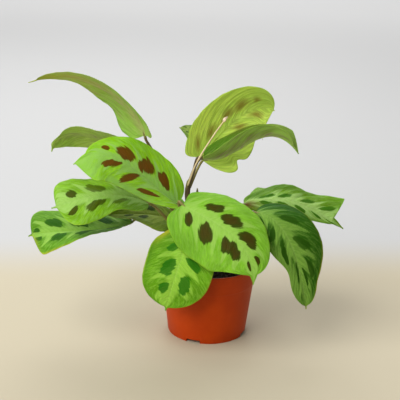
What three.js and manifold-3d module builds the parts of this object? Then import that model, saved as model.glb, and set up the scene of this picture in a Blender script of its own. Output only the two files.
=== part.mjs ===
import * as THREE from 'three';
import { mergeVertices } from 'three/addons/utils/BufferGeometryUtils.js';
import Module from 'manifold-3d';

// A prayer plant in a small plastic nursery pot: the pot, the mix that fills it, five shoots that
// stand in the mix, a dried flower stalk and sixteen leaf blades.
// Millimetres. X runs to the right, Y away from the front and Z up. The origin is the middle of
// the pot's base, on the surface that it stands on.

const wasm = await Module();
wasm.setup();

// Pot
const POT_HEIGHT = 76.2;
const POT_TOP_RADIUS = 50.8;
const POT_BASE_RADIUS = 41;
const POT_SIDES = 48;
const WALL = 1.4;
const RIM_BAND = 20.4;
const RIM_STEP = 0.7;
const LIP_ROUND = 0.6;
const FOOT_WIDTH = 4.4;
const FLOOR_UNDERSIDE = 3.8;
const FLOOR_TOP = 5.4;
const CENTRE_FOOT_RADIUS = 11;
const NOTCH_WIDTH = 15;
const NOTCH_HEIGHT = 3.4;
const NOTCH_ANGLES = [70, 160, 250, 340];
const DRAIN_HOLES = 6;
const DRAIN_RADIUS = 3.5;
const DRAIN_CIRCLE = 24;

// Mix in the pot
const SEAT_GAP = 0.3;
const MIX_LEVEL = 64;
const MIX_BUMP = 1.1;
const MIX_RINGS = [8, 16, 24, 32, 39, 44.5];

// Shoots
const STEM_FOOT_Z = 40;
const STEM_TOP_Z = 68;
const STEM_SIDES = 8;
const PETIOLE_TIP = 1;

// Blades
const BLADE_THICKNESS = 0.7;
const MIDRIB_DEPTH = 0.8;
const BLADE_COLUMNS = [-1, -0.75, -0.45, -0.08, 0, 0.08, 0.45, 0.75, 1];
const BLADE_STATIONS = 13;
const LEAST_HALF_WIDTH = 0.6;

// One half of a blade: its width, the angle at which it leaves the midrib and the angle through
// which it then curls down, both in degrees at the base, middle and tip, the share of the length
// where it is widest, how blunt its tip is, its margin's wave, dents where the margin is torn or
// drawn in, how far its base lobe reaches back past the leaf stalk, where its narrow point starts
// and that point's share of the width, and how far a corner beside the point reaches ahead.
function half(width, shape = {}) {
  const plain = { rise: [5, 5, 5], curl: [20, 20, 20], widest: 0.45, blunt: 2.3, lobe: 10 };
  return { width, wave: [0, 1, 0], dents: [], point: [0.955, 0.09], corner: 0, ...plain, ...shape };
}

// Each blade's midrib runs through four points from the base to the tip, and its upper face looks
// along three directions: at the base, in the middle and at the tip. Left and right are seen from
// above with the tip pointing away.
const BLADES = {
  front_centre: {
    spine: [[-28, -32, 147], [-3, -45, 138], [29, -61, 119], [43, -74, 81]],
    facing: [[-0.1, -0.75, 0.65], [0.1, -0.9, 0.5], [0.15, -0.95, 0.3]],
    left: half(40, {
      rise: [-10, -5, 0],
      curl: [40, 40, 40],
      widest: 0.5,
      lobe: 20,
      wave: [0.9, 2.2, 0.4],
      dents: [[0.8, 0.12, 0.14]],
      point: [0.94, 0.14],
    }),
    right: half(43, {
      rise: [5, 3, 0],
      curl: [25, 30, 35],
      widest: 0.42,
      blunt: 4,
      lobe: 20,
      wave: [1.1, 2, 0.1],
      point: [0.94, 0.12],
    }),
  },
  front_low: {
    spine: [[-21, -44, 123], [-27, -56, 102], [-35, -63, 75], [-42, -63, 46]],
    facing: [[-0.1, -0.85, 0.5], [-0.1, -0.95, 0.2], [-0.15, -1, 0]],
    left: half(35, {
      rise: [0, 0, 0],
      curl: [10, 10, 10],
      widest: 0.5,
      blunt: 2.5,
      wave: [1.2, 2, 0.2],
    }),
    right: half(33, { curl: [10, 15, 30], widest: 0.42, blunt: 4, wave: [1, 2.2, 0.6] }),
  },
  left_big: {
    spine: [[-33, -6, 138], [-65, -18, 169], [-98, -30, 193], [-134, -44, 188]],
    facing: [[0, -0.7, 0.7], [0, -0.65, 0.75], [-0.3, -0.6, 0.75]],
    left: half(32, {
      rise: [55, 20, 5],
      widest: 0.6,
      blunt: 14,
      wave: [0.8, 2, 0.3],
      point: [0.985, 0.2],
    }),
    right: half(36, { widest: 0.28, blunt: 1.8, wave: [1.2, 2.2, 0.1], point: [0.9, 0.16] }),
  },
  left_middle: {
    spine: [[-63, -6, 139], [-92, -14, 149], [-123, -26, 149], [-157, -38, 141]],
    facing: [[0, -0.55, 0.8], [-0.2, -0.55, 0.8], [-0.4, -0.55, 0.75]],
    left: half(35, {
      rise: [25, 10, 5],
      widest: 0.7,
      blunt: 4,
      wave: [1.2, 2.2, 0.5],
      dents: [[0.38, 0.27, 0.3]],
    }),
    right: half(36, { curl: [50, 35, 20], widest: 0.78, blunt: 4, wave: [2.2, 2.3, 0.52] }),
  },
  left_low: {
    spine: [[-80, 6, 115], [-108, -4, 109], [-148, -18, 110], [-182, -30, 108]],
    facing: [[0, -0.35, 0.94], [-0.2, -0.45, 0.9], [-0.4, -0.65, 0.75]],
    left: half(31, { rise: [42, 40, 2], widest: 0.8, blunt: 6, wave: [1.2, 2.2, 0.1] }),
    right: half(36, { widest: 0.6, blunt: 5, wave: [1.2, 2, 0.4] }),
  },
  left_under: {
    spine: [[-39, 10, 116], [-60, 8, 122], [-85, 6, 123], [-108, 4, 122]],
    facing: [[0, -0.35, 0.94], [-0.2, -0.45, 0.9], [-0.4, -0.65, 0.75]],
    left: half(26, { rise: [8, 20, 30], widest: 0.25, blunt: 1.2, dents: [[0.65, 0.2, 0.35]] }),
    right: half(24),
  },
  left_back: {
    spine: [[-91, 38, 185], [-121, 42, 195], [-152, 46, 195], [-170, 48, 176]],
    facing: [[0, 0.6, 0.8], [-0.1, 0.6, 0.75], [-0.2, 0.8, 0.5]],
    left: half(27, { widest: 0.2, blunt: 1, wave: [0.8, 2, 0.2], dents: [[0.8, 0.14, 0.6]] }),
    right: half(30, { widest: 0.4, blunt: 2 }),
  },
  top_left: {
    spine: [[-69, 16, 204], [-90, 20, 235], [-132, 26, 258], [-190, 34, 252]],
    facing: [[0.3, 0.7, 0.6], [0.2, 0.5, 0.8], [0, 0.3, 0.9]],
    left: half(29, { rise: [-12, -3, 10], blunt: 2.2, lobe: 24, wave: [2.4, 1.2, 0.55] }),
    right: half(34, {
      rise: [0, 5, 8],
      widest: 0.38,
      wave: [1.2, 2.2, 0.5],
      dents: [[0.42, 0.12, 0.13]],
    }),
  },
  top_right: {
    spine: [[-12, 4, 185], [7, 8, 210], [33, 14, 232], [62, 20, 233]],
    facing: [[-0.3, 0.85, 0.3], [-0.3, 0.85, 0.3], [-0.3, 0.85, 0.3]],
    left: half(38, {
      rise: [-30, -30, -20],
      widest: 0.2,
      blunt: 11,
      lobe: 4,
      dents: [[0.03, 0.04, 0.12], [0.25, 0.05, 0.18], [0.65, 0.17, 0.27]],
      point: [0.985, 0.03],
    }),
    right: half(38, { blunt: 1.75, lobe: 25, point: [0.985, 0.03] }),
    stations: 19,
  },
  upper_right: {
    spine: [[-9, -8, 188], [23, -16, 199], [52, -26, 217], [83, -36, 203]],
    facing: [[-0.3, -0.1, 0.9], [0, -0.1, 1], [0.5, -0.1, 0.8]],
    left: half(18, { rise: [80, 90, 70], widest: 0.28, blunt: 1.7, lobe: 12, point: [0.9, 0.66] }),
    right: half(20, { rise: [55, 60, 50], widest: 0.55, blunt: 4, lobe: 6, point: [0.94, 0.2] }),
  },
  right_upper: {
    spine: [[34, -3, 140], [73, -2, 146], [107, 0, 134], [138, 2, 115]],
    facing: [[0.1, -0.5, 0.87], [0.2, -0.5, 0.85], [0.3, -0.8, 0.5]],
    left: half(30, {
      rise: [0, 3, 40],
      widest: 0.8,
      blunt: 8,
      wave: [3.2, 1.8, 0.62],
      dents: [[0.2, 0.2, 0.07], [0.65, 0.17, 0.22]],
      point: [0.86, 0.15],
      corner: 6,
    }),
    right: half(17, {
      rise: [-10, -10, 10],
      curl: [60, 60, 70],
      widest: 0.45,
      blunt: 1,
      point: [0.9, 0.16],
    }),
  },
  right_hanging: {
    spine: [[45, -20, 137], [73, -37, 124], [90, -46, 87], [99, -49, 46]],
    facing: [[-0.1, -0.75, 0.65], [0.1, -0.9, 0.4], [0.3, -0.95, 0.1]],
    left: half(34, {
      rise: [-25, 5, 5],
      curl: [40, 35, 30],
      blunt: 1.6,
      wave: [1.2, 2.1, 0.3],
      dents: [[0.82, 0.14, 0.28]],
      point: [0.97, 0.05],
    }),
    right: half(23, { widest: 0.35, blunt: 1.8, dents: [[0.67, 0.13, 0.34]], point: [0.97, 0.05] }),
  },
  rear_tall: {
    spine: [[-6, 26, 189], [-13, 34, 198], [-23, 42, 204], [-35, 49, 206]],
    facing: [[0.1, -0.4, 0.9], [0, -0.4, 0.9], [-0.2, -0.4, 0.9]],
    left: half(13, { widest: 0.4, blunt: 0.9, lobe: 5, point: [0.97, 0.1] }),
    right: half(12, { widest: 0.35, blunt: 3, lobe: 5, point: [0.97, 0.1] }),
  },
  rear_low: {
    spine: [[10, 34, 118], [12, 52, 112], [14, 68, 95], [15, 78, 64]],
    facing: [[0, 0.6, 0.8], [0, 0.9, 0.5], [0, 1, 0.1]],
    left: half(34, { wave: [1.1, 2, 0.1] }),
    right: half(34, { wave: [1.1, 2.2, 0.6] }),
  },
  rear_left: {
    spine: [[-34, 46, 116], [-52, 62, 126], [-74, 74, 118], [-92, 82, 92]],
    facing: [[-0.1, 0.4, 0.9], [-0.3, 0.3, 0.9], [-0.6, 0.3, 0.7]],
    left: half(28, { wave: [1, 2.1, 0.4] }),
    right: half(28, { wave: [1, 2, 0.8] }),
  },
  rear_right: {
    spine: [[50, 18, 130], [68, 36, 140], [84, 56, 132], [94, 74, 106]],
    facing: [[0, 0, 1], [0.3, 0.3, 0.9], [0.6, 0.5, 0.6]],
    left: half(30, { wave: [1, 2.2, 0.2] }),
    right: half(30, { wave: [1.2, 2, 0.5] }),
  },
};

// Each shoot stands in the mix at its foot, and its leaf stalks leave it where their first point
// lies and end at the base of the blade that they carry. A stem may rise above the foot.
const SHOOTS = {
  shoot_centre: {
    foot: [-6, 8],
    radius: 3.4,
    stem: { through: [[-6, 8, 66], [-15, 8, 104], [-24, 5, 146], [-22, 4, 163]], radii: [3.4, 2.6] },
    stub: { through: [[-6, 8, 66], [-10, 10, 100], [-13.5, 7, 135], [-14, 5, 153]], radii: [1.4, 1.2] },
    stalks: [
      { blade: 'top_right', through: [[-22.5, 4, 158], [-19, 4, 170]], radius: 2 },
      { blade: 'upper_right', through: [[-22.5, 4, 158], [-18.5, 1, 171]], radius: 2 },
      { blade: 'rear_tall', through: [[-22, 6, 153], [-12, 15, 176]], radius: 1.5 },
    ],
  },
  shoot_left: {
    foot: [-20, 5],
    radius: 4.6,
    stalks: [
      { blade: 'left_big', through: [[-20, 3, 66], [-22, -1, 95], [-27, -4, 120]], radius: 2.2 },
      { blade: 'left_middle', through: [[-21, 2, 66], [-28, -4, 97], [-45, -8, 124]], radius: 2.2 },
      { blade: 'left_low', through: [[-22, 5, 66], [-32, 11, 97], [-56, 13, 118]], radius: 2.2 },
      { blade: 'left_under', through: [[-21, 6, 66], [-23, 9, 88], [-28, 11, 107]], radius: 1.8 },
      { blade: 'left_back', through: [[-20, 7, 66], [-31, 24, 100], [-56, 36, 150]], radius: 2.2 },
      { blade: 'top_left', through: [[-19, 7, 66], [-28, 14, 112], [-48, 16, 167]], radius: 2.4 },
    ],
  },
  shoot_front: {
    foot: [-4, -15],
    radius: 3.4,
    stalks: [
      { blade: 'front_centre', through: [[-4, -15, 66], [-11, -21, 93], [-26, -28, 128]], radius: 2.3 },
      { blade: 'front_low', through: [[-5, -16, 66], [-9, -25, 91], [-15, -36, 113]], radius: 2 },
    ],
  },
  shoot_right: {
    foot: [15, 4],
    radius: 3.2,
    stalks: [
      { blade: 'right_upper', through: [[15, 4, 66], [22, 4, 93], [33, 1, 124]], radius: 2.4 },
      { blade: 'right_hanging', through: [[15, 3, 66], [24, 1, 98], [40, -9, 134]], radius: 2.2 },
      { blade: 'rear_right', through: [[16, 5, 66], [24, 10, 95], [38, 15, 120]], radius: 2 },
    ],
  },
  shoot_rear: {
    foot: [0, 26],
    radius: 3,
    stalks: [
      { blade: 'rear_low', through: [[0, 26, 66], [3, 27, 88], [7, 28, 110]], radius: 2 },
      { blade: 'rear_left', through: [[-1, 26, 66], [-8, 31, 90], [-20, 39, 107]], radius: 2 },
    ],
  },
};

const STALK = {
  through: [[-23.8, 0.75, 157], [-15.5, -11, 184], [0, -12, 212], [12, -14, 231]],
  radii: [0.8, 0.7],
  bud: 1.3,
};

const COLOURS = {
  pot: [0xa8401c, 0.5],
  mix: [0x2a211b, 0.95],
  stalk: [0xd9c58c, 0.7],
  shoot: [0x5a3f2c, 0.6],
  leaf: [0x7fb53c, 0.5],
};

const vector = (point) => new THREE.Vector3(...point);

const radians = THREE.MathUtils.degToRad;

// Value at a share of the way along three values, as a parabola through them.
function along(values, share) {
  const [first, middle, last] = values;
  const start = (1 - share) * (1 - 2 * share);
  const centre = 4 * share * (1 - share);
  const end = share * (2 * share - 1);
  return start * first + centre * middle + end * last;
}

// A cubic Bezier curve that passes through four points a third of its range apart.
function midribCurve(points) {
  const [a, b, c, d] = points.map(vector);
  const near = new THREE.Vector3();
  near.addScaledVector(a, -5).addScaledVector(b, 18).addScaledVector(c, -9).addScaledVector(d, 2);
  const far = new THREE.Vector3();
  far.addScaledVector(a, 2).addScaledVector(b, -9).addScaledVector(c, 18).addScaledVector(d, -5);
  near.divideScalar(6);
  far.divideScalar(6);
  return new THREE.CubicBezierCurve3(a, near, far, d);
}

function geometryFrom(positions, triangles) {
  const geometry = new THREE.BufferGeometry();
  geometry.setAttribute('position', new THREE.Float32BufferAttribute(positions, 3));
  geometry.setIndex(triangles);
  return geometry;
}

function toSolid(geometry) {
  const bare = geometry.clone();
  bare.deleteAttribute('normal');
  bare.deleteAttribute('uv');
  const merged = mergeVertices(bare, 1e-3);
  return new wasm.Manifold(new wasm.Mesh({
    numProp: 3,
    vertProperties: new Float32Array(merged.attributes.position.array),
    triVerts: new Uint32Array(merged.index.array),
  }));
}

function fromSolid(solid) {
  const mesh = solid.getMesh();
  return geometryFrom(Array.from(mesh.vertProperties), Array.from(mesh.triVerts));
}

// Closed rings of points joined one to the next, with a flat cap at each end.
function loft(rings) {
  const count = rings[0].length;
  const positions = rings.flat().flatMap((point) => point.toArray());
  const triangles = [];
  for (let i = 0; i + 1 < rings.length; i += 1) {
    for (let j = 0; j < count; j += 1) {
      const next = (j + 1) % count;
      const a = i * count + j;
      const b = i * count + next;
      triangles.push(a, b, b + count, a, b + count, a + count);
    }
  }
  const last = (rings.length - 1) * count;
  for (let j = 1; j + 1 < count; j += 1) {
    triangles.push(0, j + 1, j);
    triangles.push(last, last + j, last + j + 1);
  }
  return geometryFrom(positions, triangles);
}

// A round stalk through the given points, with a radius at each of its evenly spaced rings.
function stalkAlong(points, radii) {
  const curve = new THREE.CatmullRomCurve3(points.map(vector), false, 'centripetal');
  const steps = radii.length - 1;
  const rings = [];
  let side = null;
  for (let i = 0; i <= steps; i += 1) {
    const centre = curve.getPoint(i / steps);
    const ahead = curve.getTangent(i / steps);
    side = side ?? new THREE.Vector3(1, 0, 0);
    side = side.clone().addScaledVector(ahead, -side.dot(ahead)).normalize();
    const other = new THREE.Vector3().crossVectors(ahead, side);
    const ring = [];
    for (let k = 0; k < STEM_SIDES; k += 1) {
      const turn = (2 * Math.PI * k) / STEM_SIDES;
      const point = centre.clone();
      point.addScaledVector(side, radii[i] * Math.cos(turn));
      point.addScaledVector(other, radii[i] * Math.sin(turn));
      ring.push(point);
    }
    rings.push(ring);
  }
  return loft(rings);
}

function taper(from, to, steps) {
  return Array.from({ length: steps + 1 }, (_, i) => from + ((to - from) * i) / steps);
}

// Share of the half width at a share of the length: a rounded base, then a rounded end that is
// drawn out into a short point.
function outline(share, { widest, blunt, point }) {
  if (share < widest) {
    const back = (widest - share) / widest;
    return Math.sqrt(Math.max(0, 1 - back ** 2.4));
  }
  const [start, narrow] = point;
  const on = (share - widest) / (start - widest);
  const body = on < 1 ? (1 - on ** blunt) ** 0.62 : 0;
  return Math.max(body, Math.min(narrow, (narrow * (1 - share)) / (1.03 - start)));
}

// A point of the blade's upper face and the face's direction there, at a share of the length and
// at a column from -1 at the left margin to 1 at the right margin.
function bladePoint(blade, curve, share, column) {
  const centre = curve.getPoint(share);
  const ahead = curve.getTangent(share);
  const up = new THREE.Vector3(
    along(blade.facing.map((face) => face[0]), share),
    along(blade.facing.map((face) => face[1]), share),
    along(blade.facing.map((face) => face[2]), share),
  );
  up.addScaledVector(ahead, -up.dot(ahead)).normalize();
  const across = new THREE.Vector3().crossVectors(ahead, up);
  const side = column < 0 ? blade.left : blade.right;
  const sign = column < 0 ? -1 : 1;
  let width = Math.max(side.width * outline(share, side), LEAST_HALF_WIDTH);
  side.dents.forEach(([middle, spread, depth]) => {
    width *= 1 - depth * Math.exp(-(((share - middle) / spread) ** 2));
  });
  const reach = Math.abs(column) * width;
  const rise = radians(along(side.rise, share));
  const bend = radians(along(side.curl, share)) / side.width;
  const leaving = rise - bend * reach;
  const outward = (Math.sin(rise) - Math.sin(leaving)) / bend;
  const [height, waves, phase] = side.wave;
  const swell = Math.sin(2 * Math.PI * (waves * share + phase)) * Math.sqrt(Math.sin(Math.PI * share));
  const lift = (Math.cos(leaving) - Math.cos(rise)) / bend + height * Math.abs(column) ** 1.6 * swell;
  const back = side.lobe * Math.exp(-((share / 0.08) ** 2));
  const forward = side.corner * Math.exp(-(((share - side.point[0] + 0.05) / 0.06) ** 2));
  const slant = (forward - back) * Math.max(0, reach - 3) / side.width;
  const point = centre.addScaledVector(across, sign * outward);
  point.addScaledVector(up, lift).addScaledVector(ahead, slant);
  const face = up.clone().multiplyScalar(Math.cos(leaving));
  face.addScaledVector(across, -sign * Math.sin(leaving));
  return { point, face };
}

// A blade is a thin closed sheet with the same net of triangles on both faces and a raised midrib
// below.
function bladeGeometry(blade) {
  const curve = midribCurve(blade.spine);
  const stations = blade.stations ?? BLADE_STATIONS;
  const columns = BLADE_COLUMNS.length;
  const positions = [];
  const below = [];
  for (let i = 0; i < stations; i += 1) {
    const even = i / (stations - 1);
    const share = Math.min(1, Math.max(0, even - 0.045 * Math.sin(2 * Math.PI * even)));
    BLADE_COLUMNS.forEach((column) => {
      const { point, face } = bladePoint(blade, curve, share, column);
      const rib = column === 0 ? MIDRIB_DEPTH * (1 - 0.8 * share) : 0;
      positions.push(...point.toArray());
      below.push(...point.addScaledVector(face, -BLADE_THICKNESS - rib).toArray());
    });
  }
  const under = stations * columns;
  const triangles = [];
  for (let i = 0; i + 1 < stations; i += 1) {
    for (let j = 0; j + 1 < columns; j += 1) {
      const a = i * columns + j;
      const b = a + 1;
      const c = b + columns;
      const d = a + columns;
      triangles.push(a, b, c, a, c, d);
      triangles.push(under + a, under + c, under + b, under + a, under + d, under + c);
    }
    const left = i * columns;
    const right = left + columns - 1;
    triangles.push(left, left + columns, under + left + columns);
    triangles.push(left, under + left + columns, under + left);
    triangles.push(right, under + right, under + right + columns);
    triangles.push(right, under + right + columns, right + columns);
  }
  for (let j = 0; j + 1 < columns; j += 1) {
    const end = (stations - 1) * columns + j;
    triangles.push(j, under + j, under + j + 1, j, under + j + 1, j + 1);
    triangles.push(end, end + 1, under + end + 1, end, under + end + 1, under + end);
  }
  return geometryFrom([...positions, ...below], triangles);
}

// A shoot: a stem foot that stands in the mix, any stem above it, the stub of any stalk that has
// lost its leaf, and the leaf stalks.
function shootGeometry(shoot) {
  const [x, y] = shoot.foot;
  const { radius } = shoot;
  const foot = stalkAlong(
    [[x, y, STEM_FOOT_Z], [x, y, 54], [x, y, STEM_TOP_Z]],
    [radius * 0.55, radius, radius],
  );
  let solid = toSolid(foot);
  [shoot.stem, shoot.stub].filter(Boolean).forEach(({ through, radii }) => {
    solid = solid.add(toSolid(stalkAlong(through, taper(radii[0], radii[1], 9))));
  });
  shoot.stalks.forEach(({ blade, through, radius: thick }) => {
    const curve = midribCurve(BLADES[blade].spine);
    const base = curve.getPoint(0);
    const ahead = curve.getTangent(0);
    const bend = base.clone().addScaledVector(ahead, -5).toArray();
    const end = base.clone().addScaledVector(ahead, -SEAT_GAP - 0.1).toArray();
    const path = [...through, bend, end];
    const steps = 3 * (path.length - 1);
    solid = solid.add(toSolid(stalkAlong(path, taper(thick, PETIOLE_TIP, steps))));
  });
  return fromSolid(solid);
}

// The pot: a thin tapered wall with a raised rim band, a rounded lip, a floor that is raised off
// the ground between a notched foot ring and a centre foot, and drain holes.
function potGeometry() {
  const slope = (POT_TOP_RADIUS - RIM_STEP - POT_BASE_RADIUS) / POT_HEIGHT;
  const wallAt = (z) => POT_BASE_RADIUS + slope * z;
  const bandFoot = POT_HEIGHT - RIM_BAND;
  const lip = POT_HEIGHT - LIP_ROUND;
  const footInner = POT_BASE_RADIUS - FOOT_WIDTH;
  const profile = [
    [0, 0],
    [CENTRE_FOOT_RADIUS, 0],
    [CENTRE_FOOT_RADIUS, FLOOR_UNDERSIDE],
    [footInner, FLOOR_UNDERSIDE],
    [footInner, 0],
    [POT_BASE_RADIUS, 0],
    [wallAt(bandFoot), bandFoot],
    [wallAt(bandFoot) + RIM_STEP, bandFoot + 0.8],
    [POT_TOP_RADIUS, lip],
    [POT_TOP_RADIUS - LIP_ROUND * 0.4, POT_HEIGHT],
    [POT_TOP_RADIUS - RIM_STEP - WALL + 0.2, POT_HEIGHT],
    [wallAt(lip) - WALL, lip],
    [wallAt(FLOOR_TOP) - WALL, FLOOR_TOP],
    [0, FLOOR_TOP],
  ].map(([radius, z]) => new THREE.Vector2(radius, z));
  const body = new THREE.LatheGeometry(profile, POT_SIDES);
  body.rotateX(Math.PI / 2);
  let solid = toSolid(body);
  NOTCH_ANGLES.forEach((angle) => {
    const notch = new THREE.BoxGeometry(FOOT_WIDTH * 2, NOTCH_WIDTH, NOTCH_HEIGHT * 2);
    notch.translate(POT_BASE_RADIUS - FOOT_WIDTH * 0.5, 0, 0);
    notch.rotateZ(radians(angle));
    solid = solid.subtract(toSolid(notch));
  });
  for (let i = 0; i < DRAIN_HOLES; i += 1) {
    const hole = new THREE.CylinderGeometry(DRAIN_RADIUS, DRAIN_RADIUS, 12, 12);
    hole.rotateX(Math.PI / 2);
    hole.translate(DRAIN_CIRCLE, 0, 4);
    hole.rotateZ(((i + 0.5) * 2 * Math.PI) / DRAIN_HOLES);
    solid = solid.subtract(toSolid(hole));
  }
  return fromSolid(solid);
}

// The mix: a plug that clears the pot's wall, with an uneven top and a plain hole for each shoot.
function mixGeometry() {
  const slope = (POT_TOP_RADIUS - RIM_STEP - POT_BASE_RADIUS) / POT_HEIGHT;
  const innerAt = (z) => POT_BASE_RADIUS + slope * z - WALL - SEAT_GAP;
  const floor = FLOOR_TOP + SEAT_GAP;
  const top = (x, y) => {
    const wide = Math.sin(x * 0.16 + 0.6) * Math.cos(y * 0.13 - 0.4);
    const fine = Math.sin(x * 0.41 - y * 0.33 + 1.1);
    return MIX_LEVEL + MIX_BUMP * (wide + 0.5 * fine);
  };
  const positions = [0, 0, floor];
  const push = (radius, z) => {
    for (let k = 0; k < POT_SIDES; k += 1) {
      const turn = (2 * Math.PI * k) / POT_SIDES;
      const x = radius * Math.cos(turn);
      const y = radius * Math.sin(turn);
      positions.push(x, y, z ?? top(x, y));
    }
  };
  push(innerAt(floor), floor);
  push(innerAt(MIX_LEVEL) - 0.4, MIX_LEVEL - 2.5);
  [...MIX_RINGS].reverse().forEach((radius) => push(radius));
  positions.push(0, 0, top(0, 0));
  const rings = MIX_RINGS.length + 2;
  const triangles = [];
  for (let k = 0; k < POT_SIDES; k += 1) {
    const next = (k + 1) % POT_SIDES;
    triangles.push(0, 1 + next, 1 + k);
    for (let i = 0; i + 1 < rings; i += 1) {
      const a = 1 + i * POT_SIDES + k;
      const b = 1 + i * POT_SIDES + next;
      triangles.push(a, b, b + POT_SIDES, a, b + POT_SIDES, a + POT_SIDES);
    }
    const inner = 1 + (rings - 1) * POT_SIDES;
    triangles.push(inner + k, inner + next, 1 + rings * POT_SIDES);
  }
  let solid = toSolid(geometryFrom(positions, triangles));
  Object.values(SHOOTS).forEach(({ foot, radius }) => {
    const low = STEM_FOOT_Z - SEAT_GAP;
    const hole = new THREE.CylinderGeometry(radius + SEAT_GAP, radius + SEAT_GAP, 40, STEM_SIDES * 2);
    hole.rotateX(Math.PI / 2);
    hole.translate(foot[0], foot[1], low + 20);
    solid = solid.subtract(toSolid(hole));
  });
  return fromSolid(solid);
}

function stalkGeometry() {
  const steps = 12;
  const radii = taper(STALK.radii[0], STALK.radii[1], steps);
  radii[steps - 1] = STALK.bud * 0.8;
  radii[steps] = STALK.bud;
  return stalkAlong(STALK.through, radii);
}

const plant = new THREE.Group();

function addPiece(name, geometry, [color, roughness]) {
  const material = new THREE.MeshStandardMaterial({ color, roughness, metalness: 0 });
  const piece = new THREE.Mesh(geometry, material);
  piece.name = name;
  plant.add(piece);
}

addPiece('pot', potGeometry(), COLOURS.pot);
addPiece('potting_mix', mixGeometry(), COLOURS.mix);
Object.entries(SHOOTS).forEach(([name, shoot]) => {
  addPiece(name, shootGeometry(shoot), COLOURS.shoot);
});
addPiece('flower_stalk', stalkGeometry(), COLOURS.stalk);
Object.entries(BLADES).forEach(([name, blade]) => {
  addPiece(`leaf_${name}`, bladeGeometry(blade), COLOURS.leaf);
});

export default plant;
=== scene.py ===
import random
from math import atan2, copysign, cos, exp, pi, radians, sin, sqrt

import bmesh
import bpy
from mathutils import Matrix, Vector, noise


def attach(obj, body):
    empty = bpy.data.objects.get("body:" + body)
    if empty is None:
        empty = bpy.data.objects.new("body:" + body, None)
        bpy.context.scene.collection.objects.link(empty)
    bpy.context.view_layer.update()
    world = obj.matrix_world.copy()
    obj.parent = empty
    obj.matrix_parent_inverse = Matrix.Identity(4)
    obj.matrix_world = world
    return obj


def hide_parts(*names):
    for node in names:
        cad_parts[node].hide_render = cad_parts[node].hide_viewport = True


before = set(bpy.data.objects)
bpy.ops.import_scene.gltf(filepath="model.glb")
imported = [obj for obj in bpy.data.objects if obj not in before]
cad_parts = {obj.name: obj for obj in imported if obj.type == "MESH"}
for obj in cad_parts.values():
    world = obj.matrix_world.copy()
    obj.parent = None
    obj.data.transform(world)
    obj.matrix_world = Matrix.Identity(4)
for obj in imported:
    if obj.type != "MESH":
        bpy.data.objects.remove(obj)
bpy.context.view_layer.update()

MM = 0.001

# Pot, in millimetres
POT_HEIGHT = 76.2
POT_TOP_RADIUS = 50.8
POT_BASE_RADIUS = 41
WALL = 1.4
RIM_BAND = 20.4
RIM_STEP = 0.7
FOOT_WIDTH = 4.4
FLOOR_UNDERSIDE = 3.8
FLOOR_TOP = 5.4
FLOOR_FILLET = 1.4
POT_SEGMENTS = 144
SHARP_EDGE_ANGLE = 34
CENTRE_FOOT_RADIUS = 11
NOTCH_WIDTH = 15
NOTCH_HEIGHT = 3.4
NOTCH_ANGLES = (70, 160, 250, 340)
DRAIN_HOLES = 6
DRAIN_RADIUS = 3.5
DRAIN_CIRCLE = 24
MIX_LEVEL = 64
MIX_RADIUS = 46.6
MIX_DEPTH = 14
MIX_CRUMBS = 620
CRUMB_RADII = (0.7, 0.9, 1.1, 1.4, 1.9)
TURNING_LINE = 0.9

# Blades, in millimetres, and in shares of the length where they are spreads
BLADE_THICKNESS = 0.36
LEAST_HALF_WIDTH = 0.6
BASE_ROUNDING = 2.4
TIP_ROUNDING = 0.62
LOBE_SPREAD = 0.08
CORNER_SPREAD = 0.06
FLAT_BESIDE_RIB = 3
VEIN_BEND = 1.2
RIB_DEPTH = 0.75
RIB_WIDTH = 1.1
GROOVE_DEPTH = 0.22
GROOVE_WIDTH = 1.2
SOFT_SWELL = 0.6
MARGIN_RIPPLE = 0.7
FEATHER_WIDTH = 0.17
BRANCH_REACH = 0.5
BRANCH_WIDTH = 3.9
LEAST_BRANCH_GAP = 7
SHEATH_SHARE = 0.42
# Kinds of area on a blade. A deep area is painted shade that darkens the green.
AREAS = ("yellow", "brown", "pale", "deep")


# Shape --------------------


def along(values, share):
    """Value at a share of the way along three values."""
    first, middle, last = values
    start = (1 - share) * (1 - 2 * share)
    centre = 4 * share * (1 - share)
    end = share * (2 * share - 1)
    return start * first + centre * middle + end * last


def smooth(low, high, value):
    """0 at low and 1 at high, with soft ends."""
    t = min(1.0, max(0.0, (value - low) / (high - low)))
    return t * t * (3 - 2 * t)


def as_shares(hundredths):
    return tuple(part / 100 for part in hundredths)


def half(width, **shape):
    """One half of a blade: its plain shape with its own values over it."""
    plain = dict(rise=(5, 5, 5), curl=(20, 20, 20), widest=0.45, blunt=2.3, lobe=10)
    more = dict(wave=(0, 1, 0), dents=(), point=(0.955, 0.09), corner=0, sweep=0.27)
    side = {"width": width, **plain, **more, **shape}
    side["dents"] = [as_shares(dent) for dent in side["dents"]]
    if "marks" in side:
        side["marks"] = [(*as_shares(mark[:4]), mark[4], *as_shares(mark[5:])) for mark in side["marks"]]
    else:
        side["marks"] = [(0.12 + 0.17 * k, 0.18, 0.26 + 0.165 * k, 0.5, (13 - 1.8 * k) * width / 36)
                         for k in range(5)]
    return side


def leaf(facing, pleats=(14, 0.3), **parts):
    """A blade: its own parts, its direction, and its areas of other colours and of painted shade, as
    shares.
    """
    areas = {kind: [as_shares(area) for area in parts.pop(kind, ())] for kind in AREAS}
    return {"facing": [as_shares(face) for face in facing], "pleats": pleats, "areas": areas, **parts}
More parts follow.
